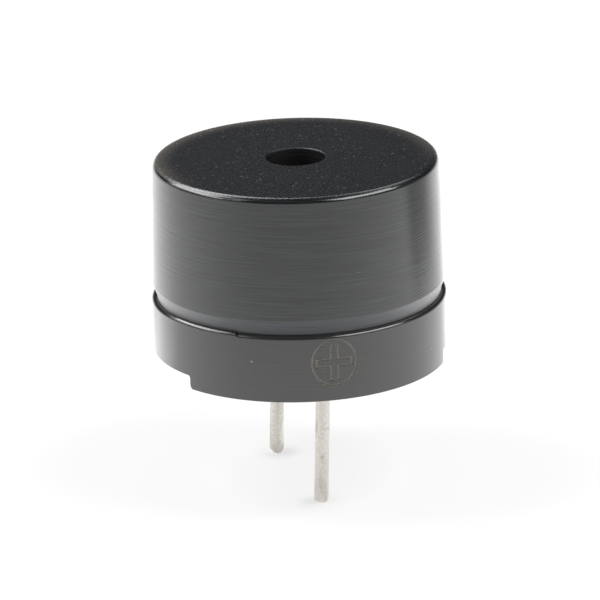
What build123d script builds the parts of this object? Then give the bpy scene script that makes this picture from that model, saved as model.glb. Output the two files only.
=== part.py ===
from build123d import *
from math import cos, radians, sin, tan
import os

# Mini speaker: a 12 mm magnetic transducer with two pins for a circuit board.
# Sizes are in millimetres and angles in degrees. The origin is midway between the pins, on the
# surface of the circuit board that the speaker is soldered to. +Z points away from that board,
# the positive pin is at -Y, and the body is round about Z.

# Base ring
rim_radius = 6.0
rim_height = 2.75
rim_round = 0.15
ring_draft = 0.3
land_height = 0.55
land_span = 122.8
land_corner = 0.2
land_heel_round = 0.1
foot_round = 0.02
housing_turn = -3.0
nick_radius = 0.06
nick_angle = 228.0

# Cap
rim_step = 0.045
cap_draft = 2.0
cap_wall = 0.68
roof_wall = 0.9
roof_corner_round = 0.4
cavity_height = 2.93
crown_round = 0.19
foot_bevel_height = 0.61
foot_bevel_depth = 0.175
foot_skirt_height = 0.12
foot_skirt_round = 0.4
sound_hole_radius = 1.2
sound_hole_bevel = 0.05
lap_clearance = 0.03

# Collar of the base, inside the cap
collar_wall = 0.295
collar_lip = 0.35
collar_lead_in = 0.12
diaphragm_seat_width = 0.4
board_shelf_width = 0.5

# Board and resin
board_thickness = 0.8
board_clearance = 0.05
resin_setback = 0.28
resin_depth = 0.3
resin_wall_climb = 0.12
resin_wall_reach = 0.4
resin_pin_climb = 0.15
resin_pin_reach = 0.3

# Pins and solder
pin_setback = 2.75
pin_radius = 0.3
pin_hole_clearance = 0.02
pin_reach_positive = 5.25
pin_reach_negative = 5.33
pin_lean = 2.4
pin_bend_radius = 1.0
pin_end_round = 0.1
pinch_half_angle = 56.0
pinch_land = 0.2
solder_radius = 0.52
solder_film = 0.08
solder_cover = 0.12
solder_recess = 0.13

# Magnetic motor
yoke_thickness = 0.5
yoke_clearance = 0.05
yoke_hole_clearance = 0.13
core_radius = 0.9
core_edge = 0.1
rivet_radius = 0.6
rivet_flare = 0.2
coil_height = 1.7
coil_edge_round = 0.2
coil_clearance = 0.05
wire_radius = 0.04
wire_bend_radius = 0.12
wire_exit_height = 0.45
wire_end_height = 0.1
magnet_height = 1.9
magnet_clearance = 0.15
magnet_bore_share = 0.74
magnet_coil_gap = 0.65
magnet_edge = 0.15
pole_gap = 0.2
diaphragm_gap = 0.25
diaphragm_thickness = 0.05
diaphragm_clearance = 0.05
armature_radius = 1.7
armature_thickness = 0.4
armature_edge = 0.06

# Heights that follow from the stack, measured up from the board's surface
resin_surface = land_height + resin_setback
board_base = resin_surface + resin_depth
board_top = board_base + board_thickness
yoke_top = board_top + yoke_thickness
diaphragm_seat = yoke_top + magnet_height + diaphragm_gap
core_top = diaphragm_seat - pole_gap
armature_base = diaphragm_seat + diaphragm_thickness
collar_top = diaphragm_seat + collar_lip
roof_underside = diaphragm_seat + cavity_height
cap_top = roof_underside + roof_wall
pin_bend_start = resin_surface - resin_pin_climb
pin_top = yoke_top - solder_recess - solder_cover

# Radii that follow from the rim inwards
cap_radius = rim_radius - rim_step
cap_foot_radius = cap_radius - foot_bevel_depth
cap_bore = cap_radius - cap_wall
collar_radius = cap_bore - lap_clearance
diaphragm_recess_radius = collar_radius - collar_wall
diaphragm_radius = diaphragm_recess_radius - diaphragm_clearance
motor_bore = diaphragm_recess_radius - diaphragm_seat_width
board_recess_radius = motor_bore + board_shelf_width
board_radius = board_recess_radius - board_clearance
yoke_radius = motor_bore - yoke_clearance

magnet_outer_radius = motor_bore - magnet_clearance
magnet_inner_radius = magnet_outer_radius * magnet_bore_share
coil_radius = magnet_inner_radius - magnet_coil_gap
coil_bore = core_radius + coil_clearance

# Half the pitch of the pins, and the holes they stand in
pin_offset = rim_radius - pin_setback
pin_hole_radius = pin_radius + pin_hole_clearance
yoke_hole_radius = solder_radius + yoke_hole_clearance

# How close an edge has to lie to a height or a radius to be picked by it
pick_tolerance = 0.002


def narrowing(height, draft):
    """How much a drafted wall narrows over a height."""
    return height * tan(radians(draft))


def corner(sketch, across, up):
    """The corner of a section nearest to a point."""
    return sketch.vertices().sort_by_distance(Vector(across, up))[0]


def edges_near_height(part, height):
    """The edges of a part that lie at a height."""
    return part.edges().filter_by_position(Axis.Z, height - pick_tolerance, height + pick_tolerance)


def outer_foot_edges(housing, foot_radius):
    """The edges round the outside of the lands' feet and ends and of the gaps between them."""
    low_edges = housing.edges().filter_by_position(Axis.Z, 0, land_height + pick_tolerance)
    return low_edges.filter_by(
        lambda edge: Vector((edge @ 0.5).X, (edge @ 0.5).Y).length > foot_radius - pick_tolerance
    )


def make_cap():
    """Drafted cup with a bevel above its short foot, a rounded crown and the sound hole."""
    skirt_top = rim_height + foot_skirt_height
    bevel_top = rim_height + foot_bevel_height
    crown_radius = cap_radius - narrowing(cap_top - bevel_top, cap_draft)
    roof_radius = cap_bore - narrowing(roof_underside - collar_top, cap_draft)
    with BuildPart() as cap:
        with BuildSketch(Plane.XZ) as section:
            with BuildLine():
                Polyline(
                    (cap_bore, rim_height),
                    (cap_foot_radius, rim_height),
                    (cap_foot_radius, skirt_top),
                    (cap_radius, bevel_top),
                    (crown_radius, cap_top),
                    (sound_hole_radius, cap_top),
                    (sound_hole_radius, roof_underside),
                    (roof_radius, roof_underside),
                    (cap_bore, collar_top),
                    close=True,
                )
            make_face()
            fillet(corner(section, cap_foot_radius, skirt_top), radius=foot_skirt_round)
            fillet(corner(section, crown_radius, cap_top), radius=crown_round)
            chamfer(corner(section, sound_hole_radius, cap_top), length=sound_hole_bevel)
            fillet(corner(section, roof_radius, roof_underside), radius=roof_corner_round)
        revolve(axis=Axis.Z)
    cap.part.label = "case_cap"
    return cap


def make_housing():
    """Base ring on two lands, with a shelf, a bore and a collar that seats the diaphragm."""
    straight_top = rim_height - rim_round
    foot_radius = rim_radius - narrowing(straight_top, ring_draft)
    shoulder_radius = rim_radius + narrowing(rim_round, ring_draft)
    gap_reach = 2 * rim_radius
    gap_half_width = gap_reach * tan(radians(90 - land_span / 2))
    outward = Vector(cos(radians(nick_angle)), sin(radians(nick_angle)), 0)
    nick_plane = Plane(origin=outward * cap_foot_radius + Vector(0, 0, rim_height), z_dir=outward)
    with BuildPart() as housing:
        with BuildSketch(Plane.XZ) as section:
            with BuildLine():
                Polyline(
                    (board_recess_radius, 0),
                    (foot_radius, 0),
                    (shoulder_radius, rim_height),
                    (collar_radius, rim_height),
                    (collar_radius, collar_top),
                    (diaphragm_recess_radius, collar_top),
                    (diaphragm_recess_radius, diaphragm_seat),
                    (motor_bore, diaphragm_seat),
                    (motor_bore, board_top),
                    (board_recess_radius, board_top),
                    close=True,
                )
            make_face()
            fillet(corner(section, shoulder_radius, rim_height), radius=rim_round)
            chamfer(corner(section, collar_radius, collar_top), length=collar_lead_in)
        revolve(axis=Axis.Z)
        with BuildSketch():
            with PolarLocations(0, 2, start_angle=housing_turn):
                Polygon((0, 0), (gap_reach, -gap_half_width), (gap_reach, gap_half_width), align=None)
        extrude(amount=land_height, mode=Mode.SUBTRACT)
        fillet(edges_near_height(housing, land_height).filter_by(GeomType.LINE), radius=land_heel_round)
        fillet(edges_near_height(housing, 0).filter_by(GeomType.LINE), radius=land_corner)
        fillet(outer_foot_edges(housing, foot_radius), radius=foot_round)
        with BuildSketch(nick_plane):
            Circle(nick_radius)
        extrude(amount=rim_radius - cap_foot_radius + rim_round, mode=Mode.SUBTRACT)
    housing.part.label = "base_housing"
    return housing


def make_board():
    """Round circuit board with a hole for each pin."""
    with BuildPart() as board:
        with BuildSketch(Plane.XY.offset(board_base)):
            Circle(board_radius)
            with Locations((0, -pin_offset), (0, pin_offset)):
                Circle(pin_hole_radius, mode=Mode.SUBTRACT)
        extrude(amount=board_thickness)
    board.part.label = "circuit_board"
    return board


def make_resin():
    """Resin under the board, drawn down a little along the ring's wall and the pins."""
    wall_start = board_recess_radius - resin_wall_reach
    with BuildPart() as resin:
        with BuildSketch(Plane.XZ):
            with BuildLine():
                wall_climb = EllipticalCenterArc(
                    (wall_start, resin_surface - resin_wall_climb),
                    x_radius=resin_wall_reach,
                    y_radius=resin_wall_climb,
                    start_angle=0,
                    arc_size=90,
                )
                Polyline(
                    wall_climb @ 0,
                    (board_recess_radius, board_base),
                    (0, board_base),
                    (0, resin_surface),
                    wall_climb @ 1,
                )
            make_face()
        revolve(axis=Axis.Z)
        for pin_y in (-pin_offset, pin_offset):
            with BuildSketch(Plane.XZ.offset(-pin_y)):
                with BuildLine():
                    skirt = EllipticalCenterArc(
                        (pin_radius + resin_pin_reach, pin_bend_start),
                        x_radius=resin_pin_reach,
                        y_radius=resin_pin_climb,
                        start_angle=90,
                        arc_size=90,
                    )
                    Polyline(skirt @ 1, (0, pin_bend_start), (0, resin_surface), skirt @ 0)
                make_face()
            revolve(axis=Axis((0, pin_y, 0), (0, 0, 1)))
        with BuildSketch(Plane.XY.offset(board_base)):
            with Locations((0, -pin_offset), (0, pin_offset)):
                Circle(pin_radius)
        extrude(amount=pin_bend_start - board_base, mode=Mode.SUBTRACT)
    resin.part.label = "sealing_resin"
    return resin


def make_pin(side, reach):
    """Round pin: straight through the board and the resin, then leaning a little to -X."""
    pin_y = side * pin_offset
    with BuildPart() as pin:
        with BuildLine(Plane.XZ.offset(-pin_y)) as route:
            shank = Line((0, pin_top), (0, pin_bend_start))
            bend = JernArc(
                start=shank @ 1,
                tangent=shank % 1,
                radius=pin_bend_radius,
                arc_size=-pin_lean,
            )
            run = ((bend @ 1).Z + reach) / cos(radians(pin_lean))
            lean = PolarLine(start=bend @ 1, length=run, direction=bend % 1)
        with BuildSketch(Plane(origin=(0, pin_y, pin_top), z_dir=(0, 0, -1))):
            Circle(pin_radius)
        sweep(path=route.wire())
        if side < 0:
            fillet(pin.edges().sort_by(Axis.Z)[0], radius=pin_end_round)
        else:
            pinch_end(lean @ 1, lean % 1)
    return pin


def pinch_end(tip, down):
    """Cut the end to a blunt wedge, as side cutters leave it."""
    across = down.cross(Vector(0, 1, 0))
    for side in (-1, 1):
        slope = across * (side * cos(radians(pinch_half_angle))) + down * sin(radians(pinch_half_angle))
        split(
            bisect_by=Plane(origin=tip + across * (side * pinch_land / 2), z_dir=slope),
            keep=Keep.BOTTOM,
        )


def make_solder(side, pin, coil):
    """Solder cone over a pin's upper end, holding the end of the coil's wire."""
    pin_y = side * pin_offset
    with BuildPart() as solder:
        with BuildSketch(Plane.XZ.offset(-pin_y)) as section:
            with BuildLine():
                Polyline(
                    (0, board_top),
                    (solder_radius, board_top),
                    (pin_radius + solder_film, pin_top),
                    (0, pin_top + solder_cover),
                    close=True,
                )
            make_face()
            fillet(corner(section, pin_radius + solder_film, pin_top), radius=solder_film)
        revolve(axis=Axis((0, pin_y, 0), (0, 0, 1)))
        add(pin.part, mode=Mode.SUBTRACT)
        add(coil.part, mode=Mode.SUBTRACT)
    return solder


def make_yoke():
    """Steel plate with a countersunk hole for the core and a clearance hole over each pin."""
    with BuildPart() as yoke:
        with BuildSketch(Plane.XY.offset(board_top)):
            Circle(yoke_radius)
            Circle(rivet_radius, mode=Mode.SUBTRACT)
            with Locations((0, -pin_offset), (0, pin_offset)):
                Circle(yoke_hole_radius, mode=Mode.SUBTRACT)
        extrude(amount=yoke_thickness)
        rivet_edge = yoke.edges().group_by(Axis.Z)[0].sort_by_distance((0, 0, board_top))[0]
        chamfer(rivet_edge, length=rivet_flare)
    yoke.part.label = "yoke_plate"
    return yoke


def make_core():
    """Iron core with a spigot that is riveted over under the yoke plate."""
    with BuildPart() as core:
        with BuildSketch(Plane.XZ) as section:
            with BuildLine():
                Polyline(
                    (0, board_top),
                    (rivet_radius + rivet_flare, board_top),
                    (rivet_radius, board_top + rivet_flare),
                    (rivet_radius, yoke_top),
                    (core_radius, yoke_top),
                    (core_radius, core_top),
                    (0, core_top),
                    close=True,
                )
            make_face()
            chamfer(corner(section, core_radius, core_top), length=core_edge)
        revolve(axis=Axis.Z)
    core.part.label = "pole_core"
    return core


def make_coil():
    """Bonded winding on the core, with a wire end bent down to each pin."""
    coil_top = yoke_top + coil_height
    wire_start = coil_radius - coil_edge_round
    wire_drop = pin_offset - pin_radius - wire_radius
    exit_z = yoke_top + wire_exit_height
    with BuildPart() as coil:
        with BuildSketch(Plane.XZ) as section:
            with BuildLine():
                Polyline(
                    (coil_bore, yoke_top),
                    (coil_radius, yoke_top),
                    (coil_radius, coil_top),
                    (coil_bore, coil_top),
                    close=True,
                )
            make_face()
            fillet(corner(section, coil_radius, yoke_top), radius=coil_edge_round)
            fillet(corner(section, coil_radius, coil_top), radius=coil_edge_round)
        revolve(axis=Axis.Z)
        for side in (-1, 1):
            with BuildLine(Plane.YZ) as route:
                FilletPolyline(
                    (side * wire_start, exit_z),
                    (side * wire_drop, exit_z),
                    (side * wire_drop, board_top + wire_end_height),
                    radius=wire_bend_radius,
                )
            with BuildSketch(Plane(origin=(0, side * wire_start, exit_z), z_dir=(0, side, 0))):
                Circle(wire_radius)
            sweep(path=route.wire())
    coil.part.label = "coil_winding"
    return coil


def make_magnet():
    """Ring magnet that stands on the yoke plate round the coil."""
    with BuildPart() as magnet:
        with BuildSketch(Plane.XY.offset(yoke_top)):
            Circle(magnet_outer_radius)
            Circle(magnet_inner_radius, mode=Mode.SUBTRACT)
        extrude(amount=magnet_height)
        chamfer(magnet.edges().filter_by(GeomType.CIRCLE), length=magnet_edge)
    magnet.part.label = "ring_magnet"
    return magnet


def make_diaphragm():
    """Thin steel disc on its seat in the housing."""
    with BuildPart() as diaphragm:
        with BuildSketch(Plane.XY.offset(diaphragm_seat)):
            Circle(diaphragm_radius)
        extrude(amount=diaphragm_thickness)
    diaphragm.part.label = "diaphragm"
    return diaphragm


def make_armature():
    """Small iron disc welded to the middle of the diaphragm."""
    with BuildPart() as armature:
        with BuildSketch(Plane.XY.offset(armature_base)):
            Circle(armature_radius)
        extrude(amount=armature_thickness)
        chamfer(armature.edges().group_by(Axis.Z)[-1], length=armature_edge)
    armature.part.label = "armature_disc"
    return armature


pin_positive = make_pin(-1, pin_reach_positive)
pin_positive.part.label = "pin_positive"
pin_negative = make_pin(1, pin_reach_negative)
pin_negative.part.label = "pin_negative"
coil_winding = make_coil()
solder_positive = make_solder(-1, pin_positive, coil_winding)
solder_positive.part.label = "solder_positive"
solder_negative = make_solder(1, pin_negative, coil_winding)
solder_negative.part.label = "solder_negative"

pieces = [
    make_cap(),
    make_housing(),
    make_board(),
    make_resin(),
    pin_positive,
    pin_negative,
    solder_positive,
    solder_negative,
    make_yoke(),
    make_core(),
    coil_winding,
    make_magnet(),
    make_diaphragm(),
    make_armature(),
]

os.makedirs("parts", exist_ok=True)
for piece in pieces:
    export_step(piece.part, f"parts/{piece.part.label}.step")
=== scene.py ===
"""Models a round mini speaker for a circuit board, finishes every piece and sets up a plain studio."""

from functools import partial
from math import atan2, cos, hypot, pi, radians, sin, tan
from types import SimpleNamespace

import bmesh
import bpy
from bpy.props import FloatProperty, FloatVectorProperty, IntProperty, PointerProperty
from bpy.types import NodeSocket, Operator, Panel, PropertyGroup
from mathutils import Matrix, Vector


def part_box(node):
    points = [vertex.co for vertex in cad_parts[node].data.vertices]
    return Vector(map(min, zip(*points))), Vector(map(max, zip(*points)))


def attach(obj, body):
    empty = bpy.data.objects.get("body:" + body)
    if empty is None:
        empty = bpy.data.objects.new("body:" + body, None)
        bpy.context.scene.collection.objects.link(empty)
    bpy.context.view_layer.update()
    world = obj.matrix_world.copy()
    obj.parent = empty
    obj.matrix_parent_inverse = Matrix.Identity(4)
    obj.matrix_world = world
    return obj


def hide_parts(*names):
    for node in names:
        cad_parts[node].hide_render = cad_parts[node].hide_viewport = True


bl_info = {
    "name": "Mini speaker",
    "version": (1, 0, 0),
    "blender": (4, 5, 0),
    "location": "3D View > Sidebar > Mini speaker",
    "description": "Models a round mini speaker with two pins and finishes every piece of it",
    "category": "Add Mesh",
}

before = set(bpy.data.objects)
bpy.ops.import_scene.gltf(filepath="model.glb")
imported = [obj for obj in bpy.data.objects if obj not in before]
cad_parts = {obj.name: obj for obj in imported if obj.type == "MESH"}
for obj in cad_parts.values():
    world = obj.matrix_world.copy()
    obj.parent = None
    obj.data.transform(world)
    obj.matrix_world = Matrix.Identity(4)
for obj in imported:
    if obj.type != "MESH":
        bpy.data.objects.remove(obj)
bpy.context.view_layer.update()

MM = 0.001  # Pieces are modelled in millimetres and brought to metres when they are finished.
TOUCH = 0.004  # How close, in millimetres, a point lies to a place to count as being there.


# ---------------------------------------------------------------------------------------------
# Sizes, colours and settings
# ---------------------------------------------------------------------------------------------


def length(name, description, millimetres):
    """A length that the sidebar shows in the scene's own units."""
    default = millimetres * MM
    return FloatProperty(
        name=name, description=description, default=default, min=0.0, precision=6, unit="LENGTH"
    )


def angle(name, description, turn):
    """An angle, given in degrees."""
    return FloatProperty(name=name, description=description, default=radians(turn), subtype="ANGLE")


def factor(name, description, share):
    """A share between nought and one."""
    return FloatProperty(
        name=name, description=description, default=share, min=0.0, max=1.0, subtype="FACTOR"
    )


def level(name, description, value):
    """A brightness, where 1 is white."""
    return FloatProperty(name=name, description=description, default=value, min=0.0)


def colour(name, description, *parts):
    """A colour without its alpha."""
    return FloatVectorProperty(
        name=name, description=description, default=parts, min=0.0, max=1.0, size=3, subtype="COLOR"
    )


def count(name, description, number, least):
    """A number of faces."""
    return IntProperty(name=name, description=description, default=number, min=least)


class CapSizes(PropertyGroup):
    foot_radius: length("Foot radius", "Outside of the cap where it meets the base ring", 5.78)
    bevel_height: length("Bevel height", "Height of the bevel above the foot", 0.61)
    skirt_height: length("Skirt height", "Height of the upright skirt under the bevel", 0.12)
    draft: angle("Draft", "Slope of the side, which lets the cap leave its mould", 2.0)
    bore: length("Bore", "Inside radius of the cap at its foot", 5.275)
    collar_top: length("Collar top", "Height to which the base's collar reaches inside", 4.93)
    roof_underside: length("Roof underside", "Height of the inside of the roof", 7.51)
    roof_corner: length("Roof corner", "Round between the roof and the wall, inside", 0.4)
    crown_round: length("Crown round", "Round at the edge of the top", 0.24)
    hole_radius: length("Sound hole radius", "Radius of the hole in the top", 1.2)
    hole_round: length("Sound hole round", "Round at the hole's edge", 0.07)
    edge_round: length("Edge round", "Round where the bevel meets the side and at the foot", 0.05)


class RingSizes(PropertyGroup):
    rim_height: length("Rim height", "Height of the ring's upper edge above the circuit board", 2.75)
    rim_round: length("Rim round", "Round at the ring's upper edge", 0.15)
    foot_radius: length("Foot radius", "Outside of the ring at the feet of its lands", 5.986)
    roof_radius: length("Gap roof radius", "Outside of the ring at the roof of the gaps", 5.989)
    rim_radius: length("Rim radius", "Outside of the ring at its upper edge, before the round", 6.0)
    recess_radius: length("Recess radius", "Recess that holds the circuit board", 5.05)
    recess_top: length("Recess top", "Height of the shelf that the board lies against", 1.93)
    motor_bore: length("Motor bore", "Bore that holds the magnet and the yoke plate", 4.55)
    seat_height: length("Seat height", "Height of the diaphragm's seat", 4.58)
    seat_radius: length("Seat radius", "Recess that holds the diaphragm", 4.95)
    collar_radius: length("Collar radius", "Outside of the collar inside the cap", 5.245)
    collar_lead_in: length("Collar lead-in", "Chamfer at the top of the collar", 0.12)
    land_height: length("Land height", "Height of the two lands that stand on the circuit board", 0.55)
    land_corner: length("Land corner", "Round at the ends of the lands, below", 0.2)
    land_heel: length("Land heel", "Round where a land's end meets the gap's roof", 0.1)
    foot_round: length("Foot round", "Round at the outer edge of the lands and the gaps", 0.02)
    gap_centre: angle("Gap centre", "Direction of the middle of one gap between the lands", -3.0)
    gap_half_angle: angle("Gap half angle", "Half the angle that a gap takes up", 28.5)
    nick_angle: angle("Nick angle", "Direction of the nick in the upper edge", -131.0)
    nick_radius: length("Nick radius", "Radius of the nick", 0.06)
    lip_height: length("Lip height", "How far the rim stands up beside the nick", 0.05)
    lip_angle: angle("Lip angle", "Angle that the raised stretch of rim takes up", 44.0)
    lip_run: angle("Lip run", "Angle over which the raised stretch starts", 15.0)


class MarkSizes(PropertyGroup):
    direction: angle("Direction", "Direction of the polarity mark on the ring", -92.64)
    height: length("Height", "Height of the mark's middle", 1.58)
    half_width: length("Half width", "Half the width of the oval round the plus", 0.906)
    half_height: length("Half height", "Half the height of the oval round the plus", 0.95)
    arm_length: length("Arm length", "Length of the plus's arms from its middle", 0.72)
    arm_width: length("Arm width", "Width of the plus's arms", 0.29)
    line_width: length("Line width", "Width of the engraved line", 0.085)
    depth: length("Depth", "Depth of the engraved line", 0.022)


class PinSizes(PropertyGroup):
    radius: length("Radius", "Radius of a pin", 0.3)
    offset: length("Offset", "Distance of each pin from the middle", 3.25)
    top: length("Top", "Height of the pins' upper ends inside", 2.18)
    bend_start: length("Bend start", "Height at which the pins come out of the resin", 0.68)
    bend_radius: length("Bend radius", "Radius at which the pins bend over a little", 1.0)
    lean: angle("Lean", "How far the pins lean to one side", 2.4)
    positive_reach: length("Positive reach", "Length of the positive pin below the board's face", 5.25)
    negative_reach: length("Negative reach", "Length of the negative pin below the board's face", 5.33)
    end_round: length("End round", "Round at the end of the positive pin", 0.1)
    pinch_angle: angle("Pinch angle", "Half the angle of the pinched-off end", 56.0)
    pinch_land: length("Pinch land", "Width of the blunt tip of the pinched-off end", 0.2)


class ResinSizes(PropertyGroup):
    surface: length("Surface", "Height of the resin's face", 0.83)
    back: length("Back", "Height of the circuit board's face, which the resin covers", 1.13)
    wall_climb: length("Wall climb", "How far the resin creeps down the ring's wall", 0.12)
    wall_reach: length("Wall reach", "How far from the wall the resin starts to creep", 0.4)
    pin_climb: length("Pin climb", "How far the resin creeps down each pin", 0.15)
    pin_reach: length("Pin reach", "How far from a pin the resin starts to creep", 0.3)


class Finishes(PropertyGroup):
    cap_plastic: colour("Cap plastic", "Moulded black of the cap", 0.0052, 0.0058, 0.0064)
    top_plastic: colour("Top plastic", "Spark-eroded black of the cap's top", 0.0048, 0.006, 0.009)
    # The worn edge is no wear: it is a painted sheen, a paler colour along the top's far edge.
    far_edge_sheen: colour("Worn edge", "Paler, handled plastic at the top's far edge", 0.15, 0.135, 0.115)
    hole_plastic: colour("Hole plastic", "Plastic round the wall of the sound hole", 0.007, 0.0073, 0.008)
    bevel_plastic: colour("Bevel plastic", "Moulded black of the cap's satin bevel", 0.0065, 0.008, 0.0105)
    ring_plastic: colour("Ring plastic", "Moulded black of the base ring", 0.0145, 0.0143, 0.0138)
    laser_mark: colour("Laser mark", "Plastic that the laser has charred pale", 0.25, 0.232, 0.208)
    dust: colour("Dust", "Specks of dust", 0.2, 0.205, 0.2)
    tin: colour("Tin", "Dull tin of the pins", 0.385, 0.375, 0.352)
    stain: colour("Stain", "Oxide stain on the tin", 0.27, 0.245, 0.21)
    resin: colour("Resin", "Cast resin under the ring", 0.012, 0.012, 0.013)
    board: colour("Board", "Solder resist of the circuit board", 0.02, 0.13, 0.045)
    solder: colour("Solder", "Bright solder", 0.7, 0.7, 0.69)
    steel: colour("Steel", "Plated steel of the yoke and the diaphragm", 0.52, 0.52, 0.53)
    iron: colour("Iron", "Soft iron of the core and the armature", 0.33, 0.33, 0.34)
    copper: colour("Copper", "Enamelled copper wire", 0.62, 0.25, 0.1)
    magnet: colour("Magnet", "Sintered magnet", 0.055, 0.055, 0.058)


class Studio(PropertyGroup):
    lens: FloatProperty(name="Lens", description="Focal length", default=307.4, min=1.0, unit="CAMERA")
    distance: length("Distance", "From the camera to its target", 208.24)
    azimuth: angle("Azimuth", "Direction that the object is seen from", -15.94)
    elevation: angle("Elevation", "Height that the object is seen from", 18.41)
    roll: angle("Roll", "Turn of the camera about its own line of sight", -1.62)
    target_height: length("Target height", "Height of the point that the framing is measured from", 4.0)
    shift_right: length("Shift right", "How far right of that point the camera aims", 0.0637)
    shift_down: length("Shift down", "How far below that point the camera aims", 1.6055)
    floor_size: length("Floor size", "Width of the floor", 4000.0)
    floor_white: level("Floor white", "Reflectance of the floor", 0.16)
    ceiling: level("Ceiling", "Brightness of the dark room above the horizon", 0.06)
    horizon: level("Horizon", "Brightness of the backdrop near the horizon", 0.5)
    floor_lift: level("Floor lift", "Glow that brings the floor to white", 0.83)
    floor_middle: level("Floor middle", "Extra glow of the floor under the object", 0.035)
    floor_far: level("Floor far", "Extra glow of the floor away from the object", 0.04)
    floor_contact: level("Floor contact", "Extra reflectance at the pins' ends, for their shadows", 0.4)
    floor_reached: factor("Floor reached", "Share of the fills' light that reaches the pins' ends", 0.62)
    floor_front: level("Floor in front", "Brightness, in the object, of the floor near the camera", 1.2)
    floor_near: level("Floor close in front", "Brightness of the floor in front, close to the object", 1.82)
    floor_side: level("Floor beside", "Brightness of the floor to either side", 2.07)
    floor_behind: level("Floor behind", "Brightness of the floor behind the object", 1.25)
    floor_back: level("Floor close behind", "Brightness of the floor behind, close to the object", 1.45)
    floor_corner: level("Floor behind right", "Brightness of the floor behind and to the right", 1.56)
    floor_nook: level("Floor close behind right", "Brightness of that floor, close to the object", 2.496)
    floor_aside: level("Floor far aside", "Brightness of the floor far off to either side", 1.5)
    floor_under: factor("Floor under", "Share of the brightness left under the object", 0.85)
    # The card is no object: it is a painted shade, a darker patch in the floor's glow behind and to the
    # right.
    floor_shade_patch: factor("Card", "How far a dark card dims the floor behind and to the right", 0.66)
    floor_pool: factor("Pool", "How far a pool of light brightens the floor behind and to the left", 0.22)
    pool_left: length("Pool left", "How far to the left the pool of light lies", 21.3)
    pool_behind: length("Pool behind", "How far behind the pool of light lies", 12.4)
    fill: level("Fill", "Soft light from all around", 0.45)
    lamp_distance: length("Lamp distance", "From the object to each soft box", 800.0)


class RoundSteps(PropertyGroup):
    body: count("Body steps", "Faces round the cap and the ring", 240, 24)
    pin: count("Pin steps", "Faces round a pin", 64, 12)
    bevel: count("Round steps", "Faces across a round", 8, 1)


GROUPS = {
    "speaker_cap": CapSizes,
    "speaker_ring": RingSizes,
    "speaker_mark": MarkSizes,
    "speaker_pins": PinSizes,
    "speaker_resin": ResinSizes,
    "speaker_finishes": Finishes,
    "speaker_studio": Studio,
    "speaker_steps": RoundSteps,
}


def read_settings(group):
    """The values of a property group, with its lengths in millimetres."""
    values = {}
    for name, rule in group.bl_rna.properties.items():
        if name not in ("rna_type", "name"):
            value = getattr(group, name)
            values[name] = value / MM if rule.unit == "LENGTH" else value
    return SimpleNamespace(**values)


# ---------------------------------------------------------------------------------------------
# Modelling by hand: adding, selecting, drawing out, rounding and cutting
# ---------------------------------------------------------------------------------------------


def select_only(*pieces):
    """Leave edit mode and select these objects and nothing else, the last one active."""
    if bpy.context.object and bpy.context.object.mode != "OBJECT":
        bpy.ops.object.mode_set(mode="OBJECT")
    bpy.ops.object.select_all(action="DESELECT")
    for piece in pieces:
        piece.select_set(True)
        bpy.context.view_layer.objects.active = piece


def start_ring(name, steps, radius, height, fill="NOTHING"):
    """Add a ring of points round Z at a height, selected and in edit mode."""
    select_only()
    bpy.ops.mesh.primitive_circle_add(vertices=steps, radius=radius, fill_type=fill, enter_editmode=True)
    piece = bpy.context.object
    piece.name = piece.data.name = name
    bpy.ops.transform.translate(value=(0, 0, height))
    return piece


def extrude(move):
    """Extrude what is selected and move it."""
    bpy.ops.mesh.extrude_region_move(TRANSFORM_OT_translate={"value": move})


def draw_wall(places):
    """Extrude the selected ring from each (radius, height) to the next."""
    for (radius, height), (next_radius, next_height) in zip(places, places[1:]):
        extrude((0, 0, next_height - height))
        grow = next_radius / radius
        bpy.ops.transform.resize(value=(grow, grow, 1), center_override=(0, 0, next_height))


def face_outwards():
    """Turn every face outwards."""
    bpy.ops.mesh.select_all(action="SELECT")
    bpy.ops.mesh.normals_make_consistent(inside=False)


def turn_profile(name, steps, places):
    """Draw a profile of (radius, height) places round Z, and close it."""
    piece = start_ring(name, steps, *places[0])
    draw_wall([*places, places[0]])
    bpy.ops.mesh.select_all(action="SELECT")
    bpy.ops.mesh.remove_doubles(threshold=TOUCH / 10)
    face_outwards()
    return piece


def select_where(piece, kind, wanted):
    """In edit mode, select the verts, edges or faces that pass a test, and nothing else."""
    bpy.ops.mesh.select_mode(type={"verts": "VERT", "edges": "EDGE", "faces": "FACE"}[kind])
    bpy.ops.mesh.select_all(action="DESELECT")
    mesh = bmesh.from_edit_mesh(piece.data)
    for item in getattr(mesh, kind):
        if wanted(item):
            item.select_set(True)
    bmesh.update_edit_mesh(piece.data)


def out(point):
    """Distance of a point from Z."""
    return hypot(point.x, point.y)


def sharper(edge, turn):
    """Whether an edge between two faces is sharper than an angle in degrees."""
    return edge.is_manifold and edge.calc_face_angle() > radians(turn)


def round_ring(piece, radius, height, size, steps):
    """Round the edges that lie on a circle round Z."""

    def on_circle(edge):
        ends = [end.co for end in edge.verts]
        return all(abs(out(end) - radius) < TOUCH and abs(end.z - height) < TOUCH for end in ends)

    select_where(piece, "edges", on_circle)
    bpy.ops.mesh.bevel(offset=size, segments=steps, affect="EDGES")


def apply_modifier(piece, kind, **settings):
    """Add a modifier, set it and apply it."""
    select_only(piece)
    bpy.ops.object.modifier_add(type=kind)
    modifier = piece.modifiers[-1]
    for option, value in settings.items():
        setattr(modifier, option, value)
    bpy.ops.object.modifier_apply(modifier=modifier.name)


def cut_or_join(piece, other, operation):
    """Cut another object out of a piece, or join it on, and remove that object."""
    apply_modifier(
        piece, "BOOLEAN", operation=operation, object=other, solver="EXACT", material_mode="TRANSFER"
    )
    bpy.data.objects.remove(other, do_unlink=True)


def give_materials(piece, *names):
    """Fill a piece's material slots, in order."""
    for name in names:
        piece.data.materials.append(bpy.data.materials[name])


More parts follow.
